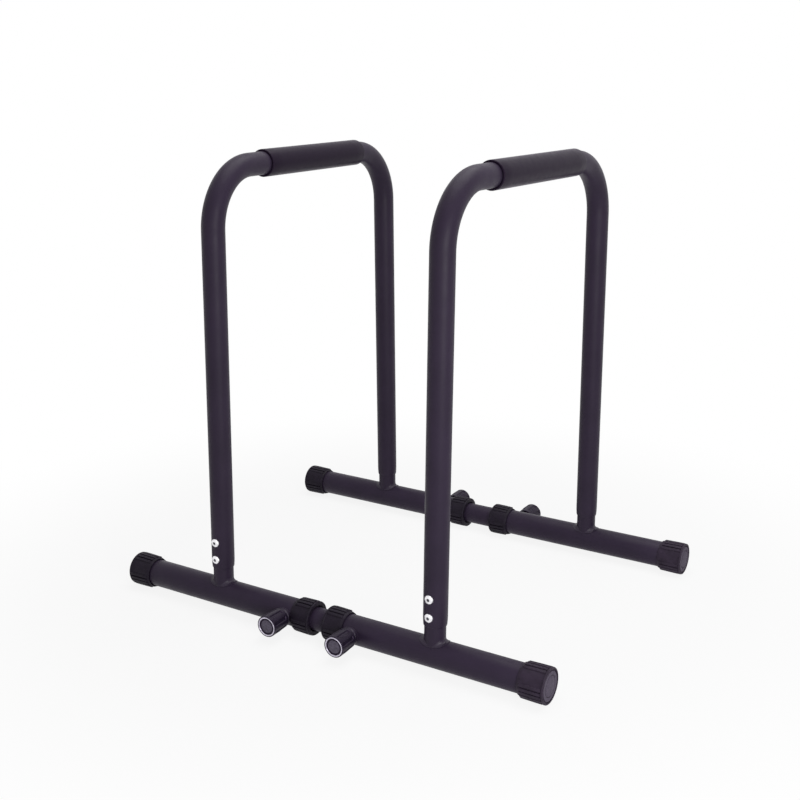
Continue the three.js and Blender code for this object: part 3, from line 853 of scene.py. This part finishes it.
class DIPSTATION_OT_base_tubes(bpy.types.Operator):
    """Cuts the base tubes and welds their stubs and pin bosses on"""
    bl_idname = "dip_station.base_tubes"
    bl_label = "Base tubes"

    end_rounding = 0.4 * MM
    stub_wall = 2.4 * MM
    stub_sides = 56
    boss_bore = 8.3 * MM
    boss_bore_depth = 13 * MM
    boss_edge = 0.5 * MM
    boss_root = 20 * MM
    boss_sides = 48
    weld_sides = 72
    # Spread on the base tube and rise up the branch of each weld bead
    stub_weld = (6.2 * MM, 6.5 * MM)
    boss_weld = (3.6 * MM, 3.4 * MM)

    def execute(self, context):
        for end, side in CORNERS:
            self.build(end, side)
        return {"FINISHED"}

    def build(self, end, side):
        s = sizes()
        corner = f"{end}_{side}"
        body = f"{side}_frame"
        inner, outer = base_ends(end, side)
        start = base_axis(end, side)
        start.x = SIDES[side] * inner
        length = outer - inner
        bore = s.base_radius - s.base_wall
        tube = turned(f"{corner}_base_tube", [
            (bore, 0), (s.base_radius, 0), (s.base_radius, length / 3),
            (s.base_radius, length * 2 / 3), (s.base_radius, length), (bore, length)],
            TUBE_SIDES, ends="bridged")
        soften(tube, self.end_rounding, angle=50)
        smooth(tube)
        settle(tube, facing((SIDES[side], 0, 0), start))
        dress(tube, "powder_coat", "powder_coat", body, f"{corner}_base")

        leg = leg_place(end, side)
        top = highest(f"{corner}_base").z - start.z
        stub_bore = s.stub_radius - self.stub_wall
        stub = turned(f"{corner}_stub", [
            (stub_bore, 20 * MM), (s.stub_radius, 14 * MM), (s.stub_radius, 40 * MM),
            (s.stub_radius, top - 1 * MM), (stub_bore, top - 1 * MM)],
            self.stub_sides, ends="bridged")
        smooth(stub)
        settle(stub, leg)
        dress(stub, "powder_coat", "powder_coat", body)

        bead = self.fillet(f"{corner}_stub_weld", s.stub_radius, *self.stub_weld, tube, leg)
        dress(bead, "weld", "powder_coat", body)

        pin = pin_place(end, side)
        radius, bore, reach = s.boss_radius, self.boss_bore, s.boss_reach
        edge, root = self.boss_edge, self.boss_root
        boss = turned(f"{corner}_pin_boss", [
            (bore, reach - self.boss_bore_depth), (bore, reach - 0.4 * MM),
            (bore + 0.4 * MM, reach), (radius - edge, reach), (radius, reach - edge),
            (radius, root), (bore, root)], self.boss_sides, ends="bridged")
        smooth(boss)
        settle(boss, pin)
        dress(boss, "powder_coat", "powder_coat", body)
        bead = self.fillet(f"{corner}_boss_weld", radius, *self.boss_weld, tube, pin)
        dress(bead, "weld", "powder_coat", body)

    def fillet(self, name, radius, spread, rise, tube, place):
        """A concave weld bead between a branch and the tube below it.

        Its toe stands a little proud of that tube, and its back is hidden in the branch.
        """
        s = sizes()
        crown = s.base_radius + rise
        root = s.base_radius - 0.8 * MM
        back = radius - 0.6 * MM
        rounds = [(back, root), (back, crown)]
        rounds += [(radius + spread + out * spread, crown + up * rise)
                   for out, up in arc((0, 0), 1, 180, 270, 7)]
        rounds += [(radius + spread + 0.5 * MM, s.base_radius - 0.2 * MM),
                   (radius + spread + 0.6 * MM, root)]
        bead = turned(name, rounds, self.weld_sides, ends="bridged")
        settle(bead, place)
        laid = bead.vertex_groups.new(name="laid")
        rooted = bead.vertex_groups.new(name="rooted")
        inverse = place.inverted()
        for vertex in bead.data.vertices:
            local = inverse @ vertex.co
            share = (crown - local.z) / (crown - s.base_radius)
            laid.add([vertex.index], max(0.0, min(1.0, share)) ** 1.3, "REPLACE")
            if local.z < s.base_radius - 0.5 * MM:
                rooted.add([vertex.index], 1, "REPLACE")
        for group, offset in (("laid", 1.0 * MM), ("rooted", -0.4 * MM)):
            modifier(bead, "Laid on the tube", "SHRINKWRAP", target=tube, vertex_group=group,
                     wrap_method="NEAREST_SURFACEPOINT", wrap_mode="ABOVE_SURFACE", offset=offset)
        bead.vertex_groups.clear()
        smooth(bead, 60)
        return bead


class DIPSTATION_OT_links(bpy.types.Operator):
    """Cuts the link tubes and drills their rows of index holes"""
    bl_idname = "dip_station.links"
    bl_label = "Link tubes"

    end_rounding = 0.4 * MM
    hole_radius = 4.4 * MM
    hole_sides = 32
    # Index holes of one side, outwards from the middle of a tube
    hole_places = [65 * MM, 95 * MM, 125 * MM, 155 * MM]

    def execute(self, context):
        s = sizes()
        for end in ENDS:
            low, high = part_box(f"{end}_link")
            middle = (low + high) / 2
            half = (high.x - low.x) / 2
            bore = s.link_radius - s.link_wall
            tube = turned(f"{end}_link_tube", [
                (bore, -half), (s.link_radius, -half), (s.link_radius, 0),
                (s.link_radius, half), (bore, half)], TUBE_SIDES, ends="bridged")
            soften(tube, self.end_rounding, angle=50)
            settle(tube, facing((1, 0, 0), middle))
            self.drill(tube, end, middle)
            smooth(tube, 30)
            dress(tube, "powder_coat", "powder_coat", f"{end}_link_tube", f"{end}_link")
        return {"FINISHED"}

    def drill(self, tube, end, middle):
        s = sizes()
        drills = []
        for side in SIDES.values():
            for place in self.hole_places:
                hole = Vector((middle.x + side * place, middle.y, middle.z))
                drill = turned("drill", [
                    (self.hole_radius, 8 * MM), (self.hole_radius, s.link_radius + 2 * MM)],
                    self.hole_sides, ends="filled")
                settle(drill, facing((0, ENDS[end], 0), hole))
                drills.append(drill)
        bpy.ops.object.select_all(action="DESELECT")
        for drill in drills:
            drill.select_set(True)
        bpy.context.view_layer.objects.active = drills[0]
        bpy.ops.object.join()
        cut(tube, drills[0])


class DIPSTATION_OT_end_caps(bpy.types.Operator):
    """Moulds the ribbed rubber caps on the outer ends of the base tubes"""
    bl_idname = "dip_station.end_caps"
    bl_label = "End caps"

    floor_thickness = 4 * MM
    rim_width = 2.0 * MM
    rim_groove_depth = 2.2 * MM
    ring_line_radius = 15.4 * MM
    ring_line_depth = 1.4 * MM
    # Caps are pushed on by hand, so some stand with their ribs turned by some degrees
    ribs_turned = {"front_right": -9, "rear_right": 10}

    def execute(self, context):
        s = sizes()
        node = "front_left_end_cap"
        length = highest(node).x - lowest(node).x
        bore = s.base_radius + PLAY
        face = s.cap_radius - self.rim_width
        groove = length - self.rim_groove_depth
        line, line_floor = self.ring_line_radius, length - self.ring_line_depth
        profile = [(bore, length - self.floor_thickness), *open_edge(bore)]
        profile += ribbed_outline(length)
        # The rim, the groove inside it, the disc, the ring line in the disc and its middle
        profile += [
            (face - 1.0 * MM, length), (face - 1.3 * MM, length - 0.3 * MM),
            (face - 1.5 * MM, groove), (face - 3.2 * MM, groove),
            (face - 3.7 * MM, length - 0.6 * MM), (face - 4.4 * MM, length - 0.4 * MM),
            (line + 1.8 * MM, length - 0.4 * MM), (line + 1.5 * MM, line_floor),
            (line + 0.3 * MM, line_floor), (line, length - 0.4 * MM),
            (8 * MM, length - 0.3 * MM), (2 * MM, length - 0.25 * MM)]
        pattern = turned("end_cap_pattern", profile, RUBBER_SIDES, ends="filled")
        raise_ribs(pattern, length)
        disc = faces_within(pattern, face - 3.6 * MM, length - 1.2 * MM)
        for end, side in CORNERS:
            corner = f"{end}_{side}"
            low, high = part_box(f"{corner}_end_cap")
            origin = base_axis(end, side)
            origin.x = low.x if side == "right" else high.x
            turn = Matrix.Rotation(math.radians(self.ribs_turned.get(corner, 0)), 4, "X")
            place = facing((SIDES[side], 0, 0), origin)
            place = Matrix.Translation(origin) @ turn @ Matrix.Translation(-origin) @ place
            # The right caps take the paler rubber as painted light from the lamp on the right, the
            # left caps the darker rubber as painted shade
            shade = "lit_side_" if side == "right" else ""
            cap = seat_rubber(pattern, f"{corner}_ribbed_cap", place, f"{shade}cap_rubber",
                              side, f"{corner}_end_cap")
            inlay(cap, f"{shade}cap_face", disc)
        discard(pattern)
        return {"FINISHED"}


class DIPSTATION_OT_collars(bpy.types.Operator):
    """Moulds the ribbed rubber collars through which the link tubes slide"""
    bl_idname = "dip_station.collars"
    bl_label = "Collars"

    floor_thickness = 3 * MM
    seam_depth = 3.6 * MM

    def execute(self, context):
        s = sizes()
        node = "front_left_collar"
        length = highest(node).x - lowest(node).x
        bore = s.base_radius + PLAY
        bush = s.base_radius - s.base_wall - PLAY
        throat = s.link_radius + PLAY
        pocket = length - self.floor_thickness
        tip = pocket - s.bush_length
        profile = [(throat, length - self.seam_depth), (throat, tip), (bush, tip), (bush, pocket),
                   (bore, pocket), *open_edge(bore), *ribbed_outline(length)]
        # The flared mouth round the link tube
        profile += [(throat + 2.6 * MM, length), (throat + 1.8 * MM, length - 0.5 * MM),
                    (throat + 1.2 * MM, length - 2.2 * MM)]
        pattern = turned("collar_pattern", profile, RUBBER_SIDES, ends="bridged")
        raise_ribs(pattern, length)
        for end, side in CORNERS:
            corner = f"{end}_{side}"
            low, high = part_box(f"{corner}_collar")
            origin = base_axis(end, side)
            origin.x = high.x if side == "right" else low.x
            place = facing((-SIDES[side], 0, 0), origin)
            # The collars take the darker copy of the rubber, as painted shade
            seat_rubber(pattern, f"{corner}_ribbed_collar", place, "cap_rubber",
                        side, f"{corner}_collar")
        discard(pattern)
        return {"FINISHED"}


class DIPSTATION_OT_screws(bpy.types.Operator):
    """Turns the button heads of the leg screws and cuts their hexagon sockets"""
    bl_idname = "dip_station.screws"
    bl_label = "Leg screws"

    head_height = 4.5 * MM
    dome_height = 2.9 * MM
    head_sides = 48
    shank_radius = 4 * MM
    shank_length = 17 * MM
    socket_radius = 2.9 * MM
    socket_depth = 2.3 * MM
    # Height of each screw above the lower end of its leg
    levels = {"lower": 17 * MM, "upper": 47 * MM}

    def execute(self, context):
        s = sizes()
        head, shank = s.screw_head_radius, self.shank_radius
        seat = s.bar_radius - PLAY
        top = s.bar_radius + self.head_height
        shoulder = top - self.dome_height
        profile = [(shank - 0.4 * MM, seat - self.shank_length),
                   (shank, seat - self.shank_length + 1 * MM), (shank, seat),
                   (head - 0.3 * MM, seat), (head, seat + 0.4 * MM), (head, shoulder)]
        profile += [(head * math.cos(a), shoulder + self.dome_height * math.sin(a))
                    for a in map(math.radians, (14, 28, 42, 54, 64))]
        pattern = turned("screw_pattern", profile, self.head_sides, ends="filled")
        socket = turned("socket_cutter", [
            (self.socket_radius, top - self.socket_depth), (self.socket_radius, top + 2 * MM)],
            6, ends="filled")
        cut(pattern, socket)
        soften(pattern, 0.15 * MM, angle=40)
        # The floor of each hexagon socket takes the dark steel as painted shade, where the deep
        # socket would be in shade
        shaded_socket_floor = faces_within(pattern, 2.8 * MM, seat, top - 2.1 * MM)
        outward = Matrix.Rotation(math.pi / 2, 4, "X")
        for end, side in CORNERS:
            corner = f"{end}_{side}"
            for level, lift in self.levels.items():
                raised = Matrix.Translation((0, 0, s.leg_lift + lift))
                screw = copy_of(pattern, f"{corner}_{level}_button_screw")
                settle(screw, leg_place(end, side) @ raised @ outward)
                smooth(screw, 35)
                dress(screw, "bright_steel", "bright_steel",
                      f"{side}_frame", f"{corner}_{level}_screw")
                inlay(screw, "dark_steel", shaded_socket_floor)
        discard(pattern)
        return {"FINISHED"}


class DIPSTATION_OT_knobs(bpy.types.Operator):
    """Turns the fluted pull knobs and lays the bright rings in their faces"""
    bl_idname = "dip_station.knobs"
    bl_label = "Pull knobs"

    sides = 96
    bore_depth = 21.4 * MM
    lip_rounding = 1 * MM
    crown_rounding = 1.3 * MM
    ring_half_width = 1.2 * MM
    ring_foot = 1.1 * MM
    # A flute is pressed into the faces whose middles lie this near to its own middle
    flute_pitch = math.radians(45)
    flute_reach = math.radians(11)
    flute_edge = 1.3 * MM
    flute_depth = 1.5 * MM
    flute_rounding = 0.45 * MM

    def execute(self, context):
        s = sizes()
        node = "front_left_knob"
        length = highest(node).y - lowest(node).y
        bottom = s.boss_reach - s.knob_skirt_reach
        top = bottom + length
        skirt, head, band = s.knob_skirt_radius, s.knob_radius, s.knob_ring_radius
        bore = s.boss_radius + PLAY
        lip, edge = self.lip_rounding, self.crown_rounding
        profile = [(bore, bottom + self.bore_depth), (bore, bottom + 0.4 * MM),
                   (bore + 0.4 * MM, bottom), (skirt - lip, bottom)]
        profile += arc((skirt - lip, bottom + lip), lip, -60, 0, 3)
        profile += [(skirt + 0.1 * MM, bottom + 5 * MM), (skirt + 0.3 * MM, bottom + 10 * MM),
                    (skirt + 0.6 * MM, bottom + 15 * MM), (head, bottom + 20 * MM),
                    (head, top - 8 * MM), (head, top - 3 * MM)]
        profile += arc((head - edge, top - edge), edge, 0, 90, 5)
        # The groove for the ring, the dished step inside it and the pad
        profile += [(band + 0.25 * MM, top - 0.05 * MM), (band + 0.2 * MM, top - 1.2 * MM),
                    (band - 2.8 * MM, top - 1.2 * MM), (band - 2.85 * MM, top - 0.9 * MM),
                    (band - 3.2 * MM, top - 1.5 * MM), (band - 4.0 * MM, top - 1.8 * MM),
                    (band - 5.0 * MM, top - 1.8 * MM), (band - 5.6 * MM, top - 1.2 * MM),
                    (6 * MM, top - 1.0 * MM), (2 * MM, top - 0.9 * MM)]
        pattern = turned("knob_pattern", profile, self.sides, ends="filled")
        self.flute(pattern, bottom, top)
        pad = faces_within(pattern, band - 5.5 * MM, top - 1.3 * MM)
        half, foot_height = self.ring_half_width, top - self.ring_foot
        crown = [(band - half + half * math.cos(a), top - 0.92 * MM + 0.9 * MM * math.sin(a))
                 for a in (math.radians(15 * step) for step in range(13))]
        ring = turned("ring_pattern", [
            (band, foot_height), *crown, (band - 2 * half, foot_height)],
            self.sides, ends="bridged")
        for end, side in CORNERS:
            corner = f"{end}_{side}"
            for source, name, finish, slot, node in (
                    (pattern, "pull_knob", "knob_plastic", "knob_plastic", "knob"),
                    (ring, "bright_ring", "ring_steel", "bright_steel", "knob_ring")):
                made = copy_of(source, f"{corner}_{name}")
                settle(made, pin_place(end, side))
                smooth(made, 35)
                dress(made, finish, slot, f"{corner}_plunger", f"{corner}_{node}")
                if source is pattern:
                    inlay(made, "knob_face", pad)
        discard(pattern)
        discard(ring)
        return {"FINISHED"}

    def flute(self, obj, bottom, top):
        """Presses eight finger flutes into the side of a knob and rounds their edges."""
        pitch = self.flute_pitch

        def in_flute(centre, normal):
            angle = math.atan2(centre.y, centre.x) - pitch / 2
            off = abs(math.remainder(angle, pitch))
            outside = math.hypot(centre.x, centre.y) > sizes().knob_skirt_radius - 0.5 * MM
            along = bottom + 5 * MM < centre.z < top - 3 * MM
            return outside and off < self.flute_reach and along

        edit(obj)
        select_faces(obj, in_flute)
        bpy.ops.mesh.inset(thickness=self.flute_edge, depth=-self.flute_depth,
                           use_even_offset=True)
        bpy.ops.mesh.select_all(action="DESELECT")
        leave_edit()
        soften(obj, self.flute_rounding, angle=22)


class DIPSTATION_OT_springs(bpy.types.Operator):
    """Winds the springs inside the pin housings"""
    bl_idname = "dip_station.springs"
    bl_label = "Pin springs"

    wire_radius = 0.45 * MM
    wire_sides = 10
    coil_radius = 4.85 * MM
    turns = 4
    steps_per_turn = 24

    def execute(self, context):
        wire, steps = self.wire_radius, self.steps_per_turn * self.turns
        for end, side in CORNERS:
            corner = f"{end}_{side}"
            low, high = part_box(f"{corner}_pin_spring")
            near, far = sorted((abs(low.y), abs(high.y)))
            place = pin_place(end, side)
            start = near - abs(place.translation.y) + wire
            length = far - near - 2 * wire
            bpy.ops.object.select_all(action="DESELECT")
            bpy.ops.mesh.primitive_circle_add(vertices=self.wire_sides, radius=wire,
                                              fill_type="NOTHING", rotation=(math.pi / 2, 0, 0))
            coil = bpy.context.object
            coil.name = f"{corner}_coil"
            bpy.ops.object.transform_apply(location=True, rotation=True, scale=True)
            edit(coil)
            bpy.ops.mesh.select_all(action="SELECT")
            bpy.ops.transform.translate(value=(self.coil_radius, 0, start))
            leave_edit()
            modifier(coil, "Wound", "SCREW", angle=2 * math.pi * self.turns,
                     screw_offset=length, iterations=1, steps=steps, render_steps=steps, axis="Z")
            edit(coil)
            bpy.ops.mesh.select_all(action="DESELECT")
            bpy.ops.mesh.select_non_manifold()
            bpy.ops.mesh.fill_holes(sides=0)
            bpy.ops.mesh.select_all(action="SELECT")
            bpy.ops.mesh.normals_make_consistent(inside=False)
            leave_edit()
            smooth(coil, 50)
            settle(coil, place)
            dress(coil, "bright_steel", "bright_steel", f"{side}_frame",
                  f"{corner}_pin_spring")
            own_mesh(coil)
        return {"FINISHED"}


class DIPSTATION_OT_stage(bpy.types.Operator):
    """Lays a pale floor under soft studio light and sets the camera"""
    bl_idname = "dip_station.stage"
    bl_label = "Stage"

    def execute(self, context):
        self.floor()
        self.world()
        self.lamps()
        self.camera()
        context.scene.view_settings.view_transform = "Standard"
        return {"FINISHED"}

    def floor(self):
        bpy.ops.object.select_all(action="DESELECT")
        bpy.ops.mesh.primitive_plane_add(size=60, location=(0, 0, 0))
        plane = bpy.context.object
        plane.name = "studio_floor"
        plane.data.materials.append(self.floor_finish())

    def floor_finish(self):
        """Matt white with a soft shadow near the station, fading to plain white further out."""
        finish = bpy.data.materials.new("Pale floor")
        finish.use_nodes = True
        nodes, links = finish.node_tree.nodes, finish.node_tree.links
        matt = nodes["Principled BSDF"]
        matt.inputs["Base Color"].default_value = (0.9, 0.9, 0.9, 1)
        matt.inputs["Roughness"].default_value = 0.9
        matt.inputs["Specular IOR Level"].default_value = 0.1
        white = nodes.new("ShaderNodeEmission")
        white.inputs["Color"].default_value = (1, 1, 1, 1)
        place = nodes.new("ShaderNodeTexCoord")
        away = nodes.new("ShaderNodeVectorMath")
        away.operation = "LENGTH"
        fade = nodes.new("ShaderNodeMapRange")
        fade.interpolation_type = "SMOOTHSTEP"
        fade.inputs["From Min"].default_value = stage_settings().shadow_near
        fade.inputs["From Max"].default_value = stage_settings().shadow_far
        fade.inputs["To Min"].default_value = stage_settings().whiteness
        fade.inputs["To Max"].default_value = 1
        seen = self.seen_as_background(nodes, links)
        share = nodes.new("ShaderNodeMath")
        share.operation = "MULTIPLY"
        mix = nodes.new("ShaderNodeMixShader")
        links.new(place.outputs["Object"], away.inputs[0])
        links.new(away.outputs["Value"], fade.inputs["Value"])
        links.new(seen, share.inputs[0])
        links.new(fade.outputs["Result"], share.inputs[1])
        links.new(share.outputs["Value"], mix.inputs["Fac"])
        links.new(matt.outputs["BSDF"], mix.inputs[1])
        links.new(white.outputs["Emission"], mix.inputs[2])
        links.new(mix.outputs["Shader"], nodes["Material Output"].inputs["Surface"])
        return finish

    def seen_as_background(self, nodes, links):
        """One for the rays of the camera and of glossy and clear surfaces, else nought."""
        path = nodes.new("ShaderNodeLightPath")
        total = nodes.new("ShaderNodeMath")
        total.operation = "ADD"
        both = nodes.new("ShaderNodeMath")
        both.operation = "ADD"
        both.use_clamp = True
        links.new(path.outputs["Is Camera Ray"], total.inputs[0])
        links.new(path.outputs["Is Glossy Ray"], total.inputs[1])
        links.new(total.outputs["Value"], both.inputs[0])
        links.new(path.outputs["Is Transmission Ray"], both.inputs[1])
        return both.outputs["Value"]

    def world(self):
        world = bpy.data.worlds.new("Studio")
        bpy.context.scene.world = world
        world.use_nodes = True
        nodes, links = world.node_tree.nodes, world.node_tree.links
        soft = nodes["Background"]
        soft.inputs["Color"].default_value = (1, 1, 1, 1)
        soft.inputs["Strength"].default_value = stage_settings().surroundings
        white = nodes.new("ShaderNodeBackground")
        white.inputs["Color"].default_value = (1, 1, 1, 1)
        mix = nodes.new("ShaderNodeMixShader")
        links.new(self.seen_as_background(nodes, links), mix.inputs["Fac"])
        links.new(soft.outputs["Background"], mix.inputs[1])
        links.new(white.outputs["Background"], mix.inputs[2])
        links.new(mix.outputs["Shader"], nodes["World Output"].inputs["Surface"])

    def lamps(self):
        aim = Vector((0, 0, 0.35))
        for name, place, size, power in (
                ("key_light", (1.45, -1.15, 0.7), 0.9, 16),
                ("front_light", (0.7, -2.1, 0.7), 1.0, 2),
                ("top_light", (0.2, 0.4, 2.6), 2.0, 38),
                ("back_light", (1.0, 2.6, 1.6), 1.8, 2)):
            bpy.ops.object.select_all(action="DESELECT")
            bpy.ops.object.light_add(type="AREA", location=place)
            lamp = bpy.context.object
            lamp.name = name
            lamp.data.size = size
            lamp.data.energy = power
            lamp.rotation_euler = (aim - Vector(place)).to_track_quat("-Z", "Y").to_euler()

    def camera(self):
        settings = stage_settings()
        a, e = settings.azimuth, settings.elevation
        back = Vector((math.sin(a) * math.cos(e), -math.cos(a) * math.cos(e), math.sin(e)))
        place = Vector(settings.target) + back * settings.distance
        bpy.ops.object.camera_add(location=place)
        camera = bpy.context.object
        camera.rotation_euler = (-back).to_track_quat("-Z", "Y").to_euler()
        camera.data.lens = settings.lens
        camera.data.sensor_width = 36
        bpy.context.scene.camera = camera


class DIPSTATION_PT_panel(bpy.types.Panel):
    """Lists the sizes, the colours and the steps of the dip station"""
    bl_idname = "DIPSTATION_PT_panel"
    bl_label = "Dip Station"
    bl_space_type = "VIEW_3D"
    bl_region_type = "UI"
    bl_category = "Dip Station"

    def draw(self, context):
        layout = self.layout
        for group in (sizes(), colours(), stage_settings()):
            column = layout.column(align=True)
            for name in group.bl_rna.properties.keys():
                if name not in ("rna_type", "name"):
                    column.prop(group, name)
        for operator in OPERATORS:
            layout.operator(operator.bl_idname)


OPERATORS = (
    DIPSTATION_OT_frame_finishes,
    DIPSTATION_OT_hand_bars,
    DIPSTATION_OT_grips,
    DIPSTATION_OT_base_tubes,
    DIPSTATION_OT_links,
    DIPSTATION_OT_end_caps,
    DIPSTATION_OT_collars,
    DIPSTATION_OT_screws,
    DIPSTATION_OT_knobs,
    DIPSTATION_OT_springs,
    DIPSTATION_OT_stage,
)

CLASSES = (DressSizes, DressColours, StageSettings, *OPERATORS, DIPSTATION_PT_panel)


def register():
    for cls in CLASSES:
        bpy.utils.register_class(cls)
    bpy.types.Scene.dip_station_sizes = bpy.props.PointerProperty(type=DressSizes)
    bpy.types.Scene.dip_station_colours = bpy.props.PointerProperty(type=DressColours)
    bpy.types.Scene.dip_station_stage = bpy.props.PointerProperty(type=StageSettings)


def unregister():
    del bpy.types.Scene.dip_station_stage
    del bpy.types.Scene.dip_station_colours
    del bpy.types.Scene.dip_station_sizes
    for cls in reversed(CLASSES):
        bpy.utils.unregister_class(cls)


def main():
    register()
    bpy.ops.dip_station.frame_finishes()
    bpy.ops.dip_station.hand_bars()
    bpy.ops.dip_station.grips()
    bpy.ops.dip_station.base_tubes()
    bpy.ops.dip_station.links()
    bpy.ops.dip_station.end_caps()
    bpy.ops.dip_station.collars()
    bpy.ops.dip_station.screws()
    bpy.ops.dip_station.knobs()
    bpy.ops.dip_station.springs()
    bpy.ops.dip_station.stage()


if __name__ == "__main__":
    main()
